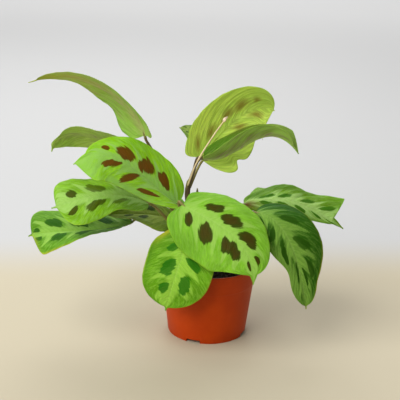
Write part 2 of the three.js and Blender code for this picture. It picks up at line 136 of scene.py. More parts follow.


# Each mark is a blotch on one half of a blade: where it starts near the midrib and where it ends
# towards the margin, in hundredths of the length and of the half width, its width in millimetres
# and, where it is faint, its depth in hundredths. In hundredths too: the way that a blade faces at
# its base, middle and tip, a dent's place, spread and depth, and the place, two spreads and depth
# of a yellow, brown or pale area or of a deep area, which is painted shade that darkens the green.
# Pleats: how many there are and their height.
BLADES = {
    "front_centre": leaf(
        spine=((-28, -32, 147), (-3, -45, 138), (29, -61, 119), (43, -74, 81)),
        facing=((-10, -75, 65), (10, -90, 50), (15, -95, 30)),
        left=half(40, rise=(-10, -5, 0), curl=(40, 40, 40), widest=0.5, lobe=20, wave=(0.9, 2.2, 0.4),
            dents=((80, 12, 14),), point=(0.94, 0.14),
            marks=((24, 26, 41, 46, 11), (42, 20, 59, 38, 14), (60, 11, 76, 42, 14), (82, 20, 87, 46, 7))),
        right=half(43, rise=(5, 3, 0), curl=(25, 30, 35), widest=0.42, blunt=4, lobe=20, wave=(1.1, 2, 0.1),
            point=(0.94, 0.12),
            marks=((14, 11, 22, 42, 10), (32, 14, 46, 50, 16), (54, 17, 67, 38, 12), (61, 14, 78, 34, 11),
                   (82, 7, 91, 14, 5))),
        look="front", deep=((0, 75, 16, 50, 50), (0, -75, 16, 50, 50), (25, 85, 25, 35, 40)),
    ),
    "front_low": leaf(
        spine=((-21, -44, 123), (-27, -56, 102), (-35, -63, 75), (-42, -63, 46)),
        facing=((-10, -85, 50), (-10, -95, 20), (-15, -100, 0)),
        left=half(35, rise=(0, 0, 0), curl=(10, 10, 10), widest=0.5, blunt=2.5, wave=(1.2, 2, 0.2),
            marks=((34, 16, 44, 60, 10, 90), (53, 27, 76, 40, 12, 90))),
        right=half(33, curl=(10, 15, 30), widest=0.42, blunt=4, wave=(1, 2.2, 0.6),
            marks=((20, 21, 32, 45, 9, 85), (39, 16, 60, 39, 12, 90), (68, 12, 79, 39, 9, 90))),
        look="deep", deep=((40, 105, 45, 22, 100), (20, 55, 20, 25, 50)),
        yellow=((8, 95, 16, 16, 60), (50, 100, 40, 3, 20), (60, -100, 40, 4, 20)),
    ),
    "left_big": leaf(
        spine=((-33, -6, 138), (-65, -18, 169), (-98, -30, 193), (-134, -44, 188)),
        facing=((0, -70, 70), (0, -65, 75), (-30, -60, 75)),
        left=half(32, rise=(55, 20, 5), widest=0.6, blunt=14, wave=(0.8, 2, 0.3), point=(0.985, 0.2),
            marks=((58, 13, 77, 42, 9), (40, 12, 56, 78, 9), (20, 50, 38, 74, 6))),
        right=half(36, widest=0.28, blunt=1.8, wave=(1.2, 2.2, 0.1), point=(0.9, 0.16),
            marks=((69, 29, 75, 56, 7), (48, 19, 63, 46, 16), (30, 20, 44, 38, 18), (14, 22, 26, 42, 12))),
        # The first pale area, a band along the left half's curled margin, is painted sheen.
        look="young", pale=((50, -95, 40, 25, 90), (97, -30, 22, 90, 90)),
        deep=((98, -45, 28, 70, 42), (60, -100, 40, 30, 30)),
    ),
    "left_middle": leaf(
        spine=((-63, -6, 139), (-92, -14, 149), (-123, -26, 149), (-157, -38, 141)),
        facing=((0, -55, 80), (-20, -55, 80), (-40, -55, 75)),
        left=half(35, rise=(25, 10, 5), widest=0.7, blunt=4, wave=(1.2, 2.2, 0.5), dents=((38, 27, 30),),
            marks=((78, 22, 88, 59, 6, 100), (51, 26, 72, 52, 12, 90), (26, 25, 43, 59, 9, 65))),
        right=half(36, curl=(50, 35, 20), widest=0.78, blunt=4, wave=(2.2, 2.3, 0.52),
            marks=((75, 19, 84, 35, 11, 100), (47, 25, 64, 44, 14, 75), (18, 40, 35, 49, 12, 50))),
        look="middle",
    ),
    "left_low": leaf(
        spine=((-80, 6, 115), (-108, -4, 109), (-148, -18, 110), (-182, -30, 108)),
        facing=((0, -35, 94), (-20, -45, 90), (-40, -65, 75)),
        left=half(31, rise=(42, 40, 2), widest=0.8, blunt=6, wave=(1.2, 2.2, 0.1),
            marks=((87, 17, 93, 35, 7), (66, 21, 79, 55, 12), (44, 20, 59, 60, 12), (21, 25, 33, 60, 10))),
        right=half(36, widest=0.6, blunt=5, wave=(1.2, 2, 0.4),
            marks=((87, 8, 93, 29, 7), (67, 24, 79, 50, 14), (47, 20, 59, 53, 14), (24, 25, 36, 56, 13))),
        look="green", yellow=((97, -50, 4, 50, 50), (85, -100, 20, 6, 60)),
    ),
    "left_under": leaf(
        spine=((-39, 10, 116), (-60, 8, 122), (-85, 6, 123), (-108, 4, 122)),
        facing=((0, -35, 94), (-20, -45, 90), (-40, -65, 75)),
        left=half(26, rise=(8, 20, 30), widest=0.25, blunt=1.2, dents=((65, 20, 35),),
            marks=((40, 10, 50, 50, 7), (60, 10, 70, 50, 7))),
        right=half(24, marks=((30, 30, 45, 60, 9), (50, 20, 64, 50, 8))),
        look="olive", yellow=((80, 100, 30, 8, 60), (80, -100, 30, 10, 50)),
    ),
    "left_back": leaf(
        spine=((-91, 38, 185), (-121, 42, 195), (-152, 46, 195), (-170, 48, 176)),
        facing=((0, 60, 80), (-10, 60, 75), (-20, 80, 50)),
        left=half(27, widest=0.2, blunt=1, wave=(0.8, 2, 0.2), dents=((80, 14, 60),), sweep=0.6),
        right=half(30, widest=0.4, blunt=2, sweep=0.6),
        look="pale_back",
    ),
    "top_left": leaf(
        spine=((-69, 16, 204), (-90, 20, 235), (-132, 26, 258), (-190, 34, 252)),
        facing=((30, 70, 60), (20, 50, 80), (0, 30, 90)),
        left=half(29, rise=(-12, -3, 10), blunt=2.2, lobe=24, wave=(2.4, 1.2, 0.55), sweep=0.5),
        right=half(34, rise=(0, 5, 8), widest=0.38, wave=(1.2, 2.2, 0.5), dents=((42, 12, 13),), sweep=0.5),
        look="high", yellow=((92, 0, 35, 150, 90),),
    ),
    "top_right": leaf(
        spine=((-12, 4, 185), (7, 8, 210), (33, 14, 232), (62, 20, 233)),
        facing=((-30, 85, 30), (-30, 85, 30), (-30, 85, 30)),
        left=half(38, rise=(-30, -30, -20), widest=0.2, blunt=11, lobe=4, sweep=0.7,
            dents=((3, 4, 12), (25, 5, 18), (65, 17, 27)), point=(0.985, 0.03),
            marks=((68, 14, 86, 24, 8), (46, 12, 59, 42, 7), (25, 15, 36, 50, 9))),
        right=half(38, blunt=1.75, lobe=25, point=(0.985, 0.03), sweep=0.7,
            marks=((58, 18, 71, 44, 12), (78, 27, 81, 50, 6), (43, 20, 57, 36, 9), (23, 18, 36, 34, 8),
                   (8, 30, 19, 60, 7))),
        look="backlit", deep=((30, -70, 50, 60, 60), (95, 50, 30, 90, 60)),
    ),
    "upper_right": leaf(
        spine=((-9, -8, 188), (23, -16, 199), (52, -26, 217), (83, -36, 203)),
        facing=((-30, -10, 90), (0, -10, 100), (50, -10, 80)),
        left=half(18, rise=(80, 90, 70), widest=0.28, blunt=1.7, lobe=12, point=(0.9, 0.66), sweep=0.5),
        right=half(20, rise=(55, 60, 50), widest=0.55, blunt=4, lobe=6, point=(0.94, 0.2), sweep=0.5),
        look="unfolding", pale=((95, -40, 35, 120, 120),), brown=((50, -100, 20, 25, 45),),
    ),
    "right_upper": leaf(
        spine=((34, -3, 140), (73, -2, 146), (107, 0, 134), (138, 2, 115)),
        facing=((10, -50, 87), (20, -50, 85), (30, -80, 50)),
        left=half(30, rise=(0, 3, 40), widest=0.8, blunt=8, wave=(3.2, 1.8, 0.62),
            dents=((20, 20, 7), (65, 17, 22)), point=(0.86, 0.15), corner=6,
            marks=((12, 14, 26, 30, 6), (28, 12, 43, 34, 6), (50, 14, 65, 47, 6), (70, 20, 82, 50, 6))),
        right=half(17, rise=(-10, -10, 10), curl=(60, 60, 70), blunt=1, point=(0.9, 0.16)),
        look="grey_green", pleats=(9, 1.1), pale=((45, 50, 40, 50, 80), (60, -25, 30, 20, 70)),
        deep=((8, -70, 12, 50, 130), (30, -85, 40, 30, 80), (85, -80, 20, 40, 50)),
        yellow=((97, -70, 6, 50, 25),),
        brown=((0, 20, 10, 90, 100), (5, -90, 12, 30, 60), (20, 90, 20, 30, 50)),
    ),
    "right_hanging": leaf(
        spine=((45, -20, 137), (73, -37, 124), (90, -46, 87), (99, -49, 46)),
        facing=((-10, -75, 65), (10, -90, 40), (30, -95, 10)),
        left=half(34, rise=(-25, 5, 5), curl=(40, 35, 30), blunt=1.6, wave=(1.2, 2.1, 0.3),
            dents=((82, 14, 28),), point=(0.97, 0.05),
            marks=((20, 22, 34, 54, 8, 90), (42, 17, 54, 50, 10, 90), (62, 32, 74, 62, 7, 90),
                   (66, 12, 81, 34, 5))),
        right=half(23, widest=0.35, blunt=1.8, dents=((67, 13, 34),), point=(0.97, 0.05),
            marks=((24, 29, 36, 72, 7), (39, 30, 62, 66, 6), (61, 12, 78, 30, 4))),
        look="shaded", pleats=(13, 0.7), pale=((70, 80, 35, 60, 100), (97, -30, 14, 80, 100)),
        deep=((10, -90, 25, 50, 90), (50, -100, 40, 25, 50)),
        yellow=((100, 0, 3, 80, 50), (80, -100, 25, 5, 60)),
    ),
    "rear_tall": leaf(
        spine=((-6, 26, 189), (-13, 34, 198), (-23, 42, 204), (-35, 49, 206)),
        facing=((10, -40, 90), (0, -40, 90), (-20, -40, 90)),
        left=half(13, widest=0.4, blunt=0.9, lobe=5, point=(0.97, 0.1)),
        right=half(12, widest=0.35, blunt=3, lobe=5, point=(0.97, 0.1)),
        look="dull",
    ),
    "rear_low": leaf(
        spine=((10, 34, 118), (12, 52, 112), (14, 68, 95), (15, 78, 64)),
        facing=((0, 60, 80), (0, 90, 50), (0, 100, 10)),
        left=half(34, wave=(1.1, 2, 0.1)),
        right=half(34, wave=(1.1, 2.2, 0.6)),
        look="deep",
    ),
    "rear_left": leaf(
        spine=((-34, 46, 116), (-52, 62, 126), (-74, 74, 118), (-92, 82, 92)),
        facing=((-10, 40, 90), (-30, 30, 90), (-60, 30, 70)),
        left=half(28, wave=(1, 2.1, 0.4)),
        right=half(28, wave=(1, 2, 0.8)),
        look="green",
    ),
    "rear_right": leaf(
        spine=((50, 18, 130), (68, 36, 140), (84, 56, 132), (94, 74, 106)),
        facing=((0, 0, 100), (30, 30, 90), (60, 50, 60)),
        left=half(30, wave=(1, 2.2, 0.2)),
        right=half(30, wave=(1.2, 2, 0.5)),
        look="grey_green",
    ),
}

# Colours of each kind of blade, as shown, in this order. The shaded look is painted shade, darker
# colours for a blade that hangs in the shadow of the leaves above it, and the backlit look's bright
# underside is painted light shining through the blade.
BLADE_COLOURS = ("Ground", "Feather", "Blotch", "Blotch Edge", "Under", "Under Rib", "Margin")
LOOKS = {
    "young": ((160, 222, 30), (150, 197, 98), (108, 62, 10), (92, 66, 10), (134, 168, 44),
        (140, 132, 90), (158, 196, 44)),
    "front": ((132, 192, 46), (146, 190, 82), (60, 48, 4), (46, 62, 2), (134, 168, 44),
        (140, 132, 90), (148, 190, 50)),
    "middle": ((128, 180, 28), (152, 192, 96), (62, 68, 0), (54, 72, 0), (130, 160, 50),
        (140, 132, 94), (170, 200, 60)),
    "green": ((96, 152, 24), (142, 186, 76), (36, 88, 0), (42, 94, 0), (128, 154, 56),
        (134, 124, 94), (160, 184, 56)),
    "deep": ((108, 166, 24), (148, 196, 68), (26, 104, 4), (24, 106, 6), (128, 154, 50),
        (134, 124, 94), (160, 196, 66)),
    "olive": ((124, 152, 40), (146, 168, 60), (50, 74, 10), (66, 92, 16), (136, 156, 52),
        (140, 124, 84), (190, 176, 50)),
    "pale_back": ((92, 142, 30), (140, 180, 74), (34, 88, 16), (42, 96, 18), (182, 212, 98),
        (146, 148, 108), (120, 146, 60)),
    "high": ((112, 168, 30), (154, 200, 66), (72, 46, 10), (96, 56, 12), (156, 200, 80),
        (184, 160, 128), (130, 150, 60)),
    "backlit": ((112, 172, 22), (156, 204, 66), (128, 56, 22), (140, 88, 36), (224, 252, 112),
        (176, 202, 88), (96, 140, 30)),
    "unfolding": ((94, 146, 26), (136, 160, 76), (72, 50, 12), (90, 60, 16), (150, 190, 82),
        (138, 122, 106), (150, 180, 50)),
    "grey_green": ((114, 160, 28), (162, 198, 114), (56, 108, 14), (66, 112, 18), (118, 140, 60),
        (132, 112, 84), (130, 176, 50)),
    "shaded": ((46, 90, 8), (116, 156, 62), (34, 72, 2), (38, 78, 4), (92, 120, 40),
        (128, 118, 84), (150, 166, 44)),
    "dull": ((104, 130, 50), (126, 148, 64), (46, 72, 24), (52, 80, 26), (98, 130, 56),
        (104, 104, 66), (110, 130, 60)),
}

# On the underside: how far blotches show through, how soft they are, and how wide the rib's colour
# is. The backlit blotches show through strongly: painted light shining through the blade.
UNDERSIDES = {
    "plain": (0.3, 0.35, 0.14),
    "backlit": (0.7, 0.55, 0.14),
    "high": (0.1, 0.35, 0.42),
    "unfolding": (0.25, 0.35, 0.6),
    "pale_back": (0.12, 0.35, 0.3),
}
STALK_COLOURS = ("Light", "Dark", "Top", "Stripe")
LIVING_STALK = ((150, 140, 62), (64, 40, 38), (150, 156, 74), (166, 152, 84))
DRIED_STALK = ((214, 186, 112), (240, 222, 208), (226, 198, 142), (140, 96, 48))

# Each shoot's foot in the mix, its own stem or stub with its two radii, and its stalks: the blade
# that each one carries, the points it passes, its radius below and how dark it is.
SHOOTS = {
    "shoot_centre": dict(
        foot=(-6, 8), radius=3.4, tint=0.9,
        stem=(((-6, 8, 66), (-15, 8, 104), (-24, 5, 146), (-22, 4, 163)), 3.4, 2.6),
        stub=(((-6, 8, 66), (-10, 10, 100), (-13.5, 7, 135), (-14, 5, 153)), 1.4, 1.2),
        stalks=(
            ("top_right", ((-22.5, 4, 158), (-19, 4, 170)), 2, 0.8),
            ("upper_right", ((-22.5, 4, 158), (-18.5, 1, 171)), 2, 0.9),
            ("rear_tall", ((-22, 6, 153), (-12, 15, 176)), 1.5, 0.3),
        ),
    ),
    "shoot_left": dict(foot=(-20, 5), radius=4.6, tint=0.7, stalks=(
        ("left_big", ((-20, 3, 66), (-22, -1, 95), (-27, -4, 120)), 2.2, 0.9),
        ("left_middle", ((-21, 2, 66), (-28, -4, 97), (-45, -8, 124)), 2.2, 0.35),
        ("left_low", ((-22, 5, 66), (-32, 11, 97), (-56, 13, 118)), 2.2, 0.3),
        ("left_under", ((-21, 6, 66), (-23, 9, 88), (-28, 11, 107)), 1.8, 0.6),
        ("left_back", ((-20, 7, 66), (-31, 24, 100), (-56, 36, 150)), 2.2, 0.5),
        ("top_left", ((-19, 7, 66), (-28, 14, 112), (-48, 16, 167)), 2.4, 0.75),
    )),
    "shoot_front": dict(foot=(-4, -15), radius=3.4, tint=0.6, stalks=(
        ("front_centre", ((-4, -15, 66), (-11, -21, 93), (-26, -28, 128)), 2.3, 0.5),
        ("front_low", ((-5, -16, 66), (-9, -25, 91), (-15, -36, 113)), 2, 0.3),
    )),
    "shoot_right": dict(foot=(15, 4), radius=3.2, tint=0.6, stalks=(
        ("right_upper", ((15, 4, 66), (22, 4, 93), (33, 1, 124)), 2.4, 0.8),
        ("right_hanging", ((15, 3, 66), (24, 1, 98), (40, -9, 134)), 2.2, 0.6),
        ("rear_right", ((16, 5, 66), (24, 10, 95), (38, 15, 120)), 2, 0.3),
    )),
    "shoot_rear": dict(foot=(0, 26), radius=3, tint=0.4, stalks=(
        ("rear_low", ((0, 26, 66), (3, 27, 88), (7, 28, 110)), 2, 0.3),
        ("rear_left", ((-1, 26, 66), (-8, 31, 90), (-20, 39, 107)), 2, 0.5),
    )),
}
FLOWER_STALK = ((-23.8, 0.75, 157), (-15.5, -11, 184), (0, -12, 212), (12, -14, 231))


def midrib(points):
    """A cubic Bezier curve that passes through four points a third of its range apart."""
    a, b, c, d = (Vector(p) for p in points)
    near = (-5 * a + 18 * b - 9 * c + 2 * d) / 6
    far = (2 * a - 9 * b + 18 * c - 5 * d) / 6
    return a, near, far, d


def point_on(curve, t):
    a, b, c, d = curve
    s = 1 - t
    return s * s * s * a + 3 * s * s * t * b + 3 * s * t * t * c + t * t * t * d


def ahead_on(curve, t):
    a, b, c, d = curve
    s = 1 - t
    return (3 * s * s * (b - a) + 6 * s * t * (c - b) + 3 * t * t * (d - c)).normalized()


def outline(share, side):
    """Share of the half width at a share of the length."""
    widest = side["widest"]
    if share < widest:
        return sqrt(max(0.0, 1 - ((widest - share) / widest) ** BASE_ROUNDING))
    start, narrow = side["point"]
    on = (share - widest) / (start - widest)
    body = (1 - on ** side["blunt"]) ** TIP_ROUNDING if on < 1 else 0
    return max(body, min(narrow, narrow * (1 - share) / (1.03 - start)))


def blade_point(blade, curve, share, column):
    """A point of the upper face in millimetres, its direction, and how far it is from the midrib."""
    ahead = ahead_on(curve, share)
    up = Vector([along([face[i] for face in blade["facing"]], share) for i in range(3)])
    up = (up - ahead * up.dot(ahead)).normalized()
    across = ahead.cross(up)
    side = blade["left"] if column < 0 else blade["right"]
    sign = -1 if column < 0 else 1
    width = max(side["width"] * outline(share, side), LEAST_HALF_WIDTH)
    for middle, spread, depth in side["dents"]:
        width *= 1 - depth * exp(-(((share - middle) / spread) ** 2))
    reach = abs(column) * width
    rise = radians(along(side["rise"], share))
    bend = radians(along(side["curl"], share)) / side["width"]
    leaving = rise - bend * reach
    outward = (sin(rise) - sin(leaving)) / bend
    height, waves, phase = side["wave"]
    swell = sin(2 * pi * (waves * share + phase)) * sqrt(max(0.0, sin(pi * share)))
    lift = (cos(leaving) - cos(rise)) / bend + height * abs(column) ** 1.6 * swell
    back = side["lobe"] * exp(-((share / LOBE_SPREAD) ** 2))
    forward = side["corner"] * exp(-(((share - side["point"][0] + 0.05) / CORNER_SPREAD) ** 2))
    slant = (forward - back) * max(0.0, reach - FLAT_BESIDE_RIB) / side["width"]
    point = point_on(curve, share) + across * (sign * outward) + up * lift + ahead * slant
    face = up * cos(leaving) - across * (sign * sin(leaving))
    return point, face, reach


def vein_share(side, share, column):
    """Where the side vein through a point leaves the midrib, as a share of the length."""
    return share - side["sweep"] * abs(column) ** VEIN_BEND


def branches_of(side, length):
    """Where the pale branches between the blotches leave the midrib."""
    starts = sorted(vein_share(side, mark[0], mark[1]) for mark in side["marks"])
    between = [(low + high) / 2 for low, high in zip(starts, starts[1:])
               if (high - low) * length > LEAST_BRANCH_GAP]
    return [starts[0] - 0.11, starts[0] - 0.22, *between, starts[-1] + 0.07, starts[-1] + 0.16]


def blotch_and_feather(side, length, branches, share, column):
    """How far inside a blotch a point is, 1 at its middle and 0 at its edge, and how pale it is."""
    spot = Vector((share * length, abs(column) * side["width"]))
    inside, depth = -1.5, 1.0
    for from_share, from_column, to_share, to_column, wide, *faint in side["marks"]:
        start = Vector((from_share * length, from_column * side["width"]))
        run = Vector((to_share * length, to_column * side["width"])) - start
        along_it = (spot - start).dot(run) / run.length_squared
        aside = abs((spot - start).cross(run)) / run.length
        taper = 0.78 + 0.34 * min(1.0, max(0.0, along_it))
        by_side = aside / (wide / 2 * taper)
        near = 1 - (abs(2 * along_it - 1) ** 2.4 + by_side ** 2.2) ** (1 / 2.3)
        if near > inside:
            inside, depth = near, faint[0] if faint else 1.0
    vein = vein_share(side, share, column)
    outer = FEATHER_WIDTH
    for branch in branches:
        here = BRANCH_REACH * exp(-((vein - branch) * length / BRANCH_WIDTH) ** 2)
        outer = max(outer, FEATHER_WIDTH + here)
    return inside, depth, smooth(outer + 0.2, outer - 0.14, abs(column))


def spots_at(spots, share, column):
    """How yellow, brown or pale the blade is at a point, or how dark its painted shade is."""
    found = 0.0
    for at_share, at_column, share_spread, column_spread, depth in spots:
        far = ((share - at_share) / share_spread) ** 2 + ((column - at_column) / column_spread) ** 2
        found = max(found, depth * exp(-far))
    return found


# Making pieces --------------------


def mesh_from(bm, name):
    mesh = bpy.data.meshes.new(name)
    bm.to_mesh(mesh)
    bm.free()
    return mesh


def add_object(name, data):
    made = bpy.data.objects.new(name, data)
    bpy.context.scene.collection.objects.link(made)
    return made


def finish_piece(bm, name, node, material, smooth_faces=True):
    """Turns a bmesh into a piece that stands for a node of the model."""
    mesh = mesh_from(bm, name)
    mesh.materials.append(material)
    for polygon in mesh.polygons:
        polygon.use_smooth = smooth_faces
    piece = add_object(name, mesh)
    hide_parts(node)
    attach(piece, "root")
    return piece


def blade_piece(name, blade, material, stations=104, columns=60):
    """A thin blade: an upper and a lower sheet with quilted side veins, joined along the margin."""
    bm = bmesh.new()
    place, marks, tints = (
        bm.verts.layers.float_vector.new("leaf_" + kind) for kind in ("place", "marks", "tints"))
    curve = midrib(blade["spine"])
    length = sum((point_on(curve, i / 20) - point_on(curve, (i + 1) / 20)).length for i in range(20))
    seed = len(name) * 7.3 + length
    branches = {key: branches_of(blade[key], length) for key in ("left", "right")}
    pleats, high = blade["pleats"]
    for under in (False, True):
        sheet = bmesh.ops.create_grid(bm, x_segments=stations, y_segments=columns, size=1)["verts"]
        for vert in sheet:
            even = (vert.co.x + 1) / 2
            share = min(1.0, max(0.0, even - 0.085 * sin(2 * pi * even)))
            column = copysign(abs(vert.co.y) ** 1.25, vert.co.y)
            point, face, reach = blade_point(blade, curve, share, column)
            key = "left" if column < 0 else "right"
            away = abs(column)
            vein = vein_share(blade[key], share, column)
            ease = sin(pi * min(1.0, away * 1.02)) ** 0.8
            ease = ease * smooth(0, 0.06, share) * smooth(1, 0.9, share)
            uneven = noise.noise(Vector((vein * 9, column, seed)))
            puff = abs(sin(pi * (vein * pleats + 0.8 * uneven))) ** 0.7 - 0.6
            soft = noise.noise(Vector((share * 5, column * 3, seed)))
            height = ease * (high * (1 + uneven) * puff + SOFT_SWELL * soft)
            ripple = noise.noise(Vector((share * 17, column * 2, seed + 9)))
            height += MARGIN_RIPPLE * away ** 5 * ripple * smooth(0, 0.1, share)
            height -= GROOVE_DEPTH * exp(-((reach / GROOVE_WIDTH) ** 2)) * smooth(1, 0.8, share)
            point = point + face * height
            if under:
                rib = RIB_DEPTH * (1 - 0.8 * share) * exp(-((reach / RIB_WIDTH) ** 2))
                edge = 1 - 0.5 * smooth(0.9, 1, away)
                point = point - face * (BLADE_THICKNESS * edge + rib)
            vert.co = point * MM
            inside, depth, feather = blotch_and_feather(blade[key], length, branches[key], share, column)
            # Yellow, brown and pale areas, and deep areas of painted shade, which go in as negative brown.
            yellow, brown, pale, deep = (
                spots_at(blade["areas"][kind], share, column) for kind in AREAS)
            vert[place] = Vector((share, column, vein))
            vert[marks] = Vector((inside, max(feather, pale), 0.0 if under else 1.0))
            vert[tints] = Vector((depth, yellow, brown - deep))
        if under:
            lower = set(sheet)
            faces = [face for face in bm.faces if all(v in lower for v in face.verts)]
            bmesh.ops.reverse_faces(bm, faces=faces)
    rim = [edge for edge in bm.edges if edge.is_boundary]
    bmesh.ops.bridge_loops(bm, edges=rim)
    bmesh.ops.recalc_face_normals(bm, faces=bm.faces)
    return finish_piece(bm, "blade_" + name, "leaf_" + name, material)


def smooth_path(points, steps):
    """Centripetal curve through the points, as a list of positions."""
    points = [Vector(p) for p in points]
    ends = [2 * points[0] - points[1], *points, 2 * points[-1] - points[-2]]
    made = []
    for i in range(len(points) - 1):
        p0, p1, p2, p3 = ends[i:i + 4]
        d0, d1, d2 = ((b - a).length ** 0.5 for a, b in ((p0, p1), (p1, p2), (p2, p3)))
        leave = ((p1 - p0) / d0 - (p2 - p0) / (d0 + d1) + (p2 - p1) / d1) * d1
        arrive = ((p2 - p1) / d1 - (p3 - p1) / (d1 + d2) + (p3 - p2) / d2) * d1
        for k in range(steps):
            t = k / steps
            made.append(
                (2 * t ** 3 - 3 * t ** 2 + 1) * p1 + (t ** 3 - 2 * t ** 2 + t) * leave
                + (3 * t ** 2 - 2 * t ** 3) * p2 + (t ** 3 - t ** 2) * arrive
            )
    made.append(points[-1])
    return made


def tube(bm, layer, path, radii, sides=14, tint=0.5, shares=(0, 1)):
    """A closed round stalk along a path in millimetres.

    The layer keeps the share of the way along, the tint and the angle round the path.
    """
    last = len(path) - 1
    side = Vector((1, 0, 0))
    rings = []
    for i, centre in enumerate(path):
        ahead = (path[min(i + 1, last)] - path[max(i - 1, 0)]).normalized()
        side = (side - ahead * side.dot(ahead)).normalized()
        other = ahead.cross(side)
        turn = Matrix((side, other, ahead)).transposed().to_4x4()
        rings.append(Matrix.Translation(centre * MM) @ turn @ Matrix.Scale(radii[i] * MM, 4))
    verts = bmesh.ops.create_circle(bm, segments=sides, radius=1, matrix=rings[0])["verts"]
    edges = list({edge for vert in verts for edge in vert.link_edges})
    made, caps = list(verts), list(edges)
    for i, ring in enumerate(rings):
        if i:
            out = bmesh.ops.extrude_edge_only(bm, edges=edges)["geom"]
            verts = [item for item in out if isinstance(item, bmesh.types.BMVert)]
            edges = [item for item in out if isinstance(item, bmesh.types.BMEdge)
                     and item.verts[0] in verts and item.verts[1] in verts]
            bmesh.ops.transform(bm, matrix=ring @ rings[i - 1].inverted(), verts=verts)
            made += verts
        back = ring.inverted()
        for vert in verts:
            spot = back @ vert.co
            angle = atan2(spot.y, spot.x)
            share = shares[0] + (shares[1] - shares[0]) * i / last
            vert[layer] = Vector((share, tint, angle / (2 * pi)))
    bmesh.ops.holes_fill(bm, edges=caps + edges, sides=sides)
    bmesh.ops.recalc_face_normals(bm, faces=list({face for vert in made for face in vert.link_faces}))
    return made


def shoot_piece(name, shoot, material):
    """A shoot's foot, its stem or stub, and a stalk with its sheath for each of its blades."""
    bm = bmesh.new()
    layer = bm.verts.layers.float_vector.new("stalk_place")
    x, y = shoot["foot"]
    radius = shoot["radius"]
    foot = smooth_path([(x, y, 40), (x, y, 54), (x, y, 68)], 6)
    tube(bm, layer, foot, [radius * (0.55 + 0.45 * min(1, i / 6)) for i in range(len(foot))],
         tint=shoot["tint"], shares=(0, 0.1))
    for part in ("stem", "stub"):
        if part not in shoot:
            continue
        through, low, high = shoot[part]
        path = smooth_path(through, 12)
        last = len(path) - 1
        radii = [low + (high - low) * i / last for i in range(last + 1)]
        radii = [r * (1 - 0.5 * smooth(0.93, 1, i / last)) for i, r in enumerate(radii)]
        tube(bm, layer, path, radii, sides=18, tint=shoot["tint"])
    for blade, through, thick, tint in shoot["stalks"]:
        curve = midrib(BLADES[blade]["spine"])
        start, ahead = point_on(curve, 0), ahead_on(curve, 0)
        up = Vector(BLADES[blade]["facing"][0])
        up = (up - ahead * up.dot(ahead)).normalized()
        path = smooth_path([*through, start - 5 * ahead, start - 0.4 * ahead - 0.3 * up], 10)
        path += [start + 1.5 * ahead - 0.7 * up, start + 5 * ahead - 0.9 * up]
        last = len(path) - 1
        radii = []
        for i in range(last + 1):
            share = i / last
            swell = 0.35 * smooth(0.72, 0.84, share) * smooth(0.99, 0.9, share)
            radii.append(thick + (1 - thick) * share + swell)
        radii[-1] = 0.35
        tube(bm, layer, path, radii, tint=tint)
        # The sheath that clasps the lower part of the stalk, narrowing at its top.
        covered = int(last * SHEATH_SHARE) if "stem" not in shoot else 0
        if covered > 6:
            wrap = path[:covered]
            sheath = [thick * (1.28 - 0.1 * i / covered) for i in range(covered)]
            sheath[-2:] = [thick * 1.05, thick * 0.8]
            tube(bm, layer, wrap, sheath, sides=18, tint=max(0.0, tint - 0.3), shares=(0, 0.4))
    return finish_piece(bm, name + "_stalks", name, material)


def flower_piece(material):
    """The dried flower stalk with two papery bracts and a small bud."""
    bm = bmesh.new()
    layer = bm.verts.layers.float_vector.new("stalk_place")
    path = smooth_path(FLOWER_STALK, 14)
    last = len(path) - 1
    radii = [0.82 - 0.18 * i / last + 0.14 * exp(-(((i - 17) / 1.6) ** 2)) for i in range(last + 1)]
    tube(bm, layer, path, radii, sides=10)
    tip, before = path[-1], path[-5]
    ahead = (tip - before).normalized()
    for index, (turn, reach, wide) in enumerate(((0.4, 6.5, 1.2), (2.6, 5.4, 1.1), (4.6, 4.4, 1))):
        lean = ahead.orthogonal().normalized()
        lean.rotate(Matrix.Rotation(turn, 3, ahead))
        bud = [tip - 4 * ahead + reach * k / 6 * ahead + lean * (0.5 + 0.35 * sin(k / 6 * pi))
               for k in range(7)]
        swell = [wide * max(0.18, sin(pi * (0.12 + 0.8 * k / 6))) for k in range(7)]
        tube(bm, layer, bud, swell, sides=10, tint=1.0 - 0.15 * index, shares=(0.8, 1))
    return finish_piece(bm, "flower_stalk_and_bud", "flower_stalk", material)


def wall_at(z):
    """Radius of the pot's outside below its band."""
    return POT_BASE_RADIUS + (POT_TOP_RADIUS - RIM_STEP - POT_BASE_RADIUS) / POT_HEIGHT * z


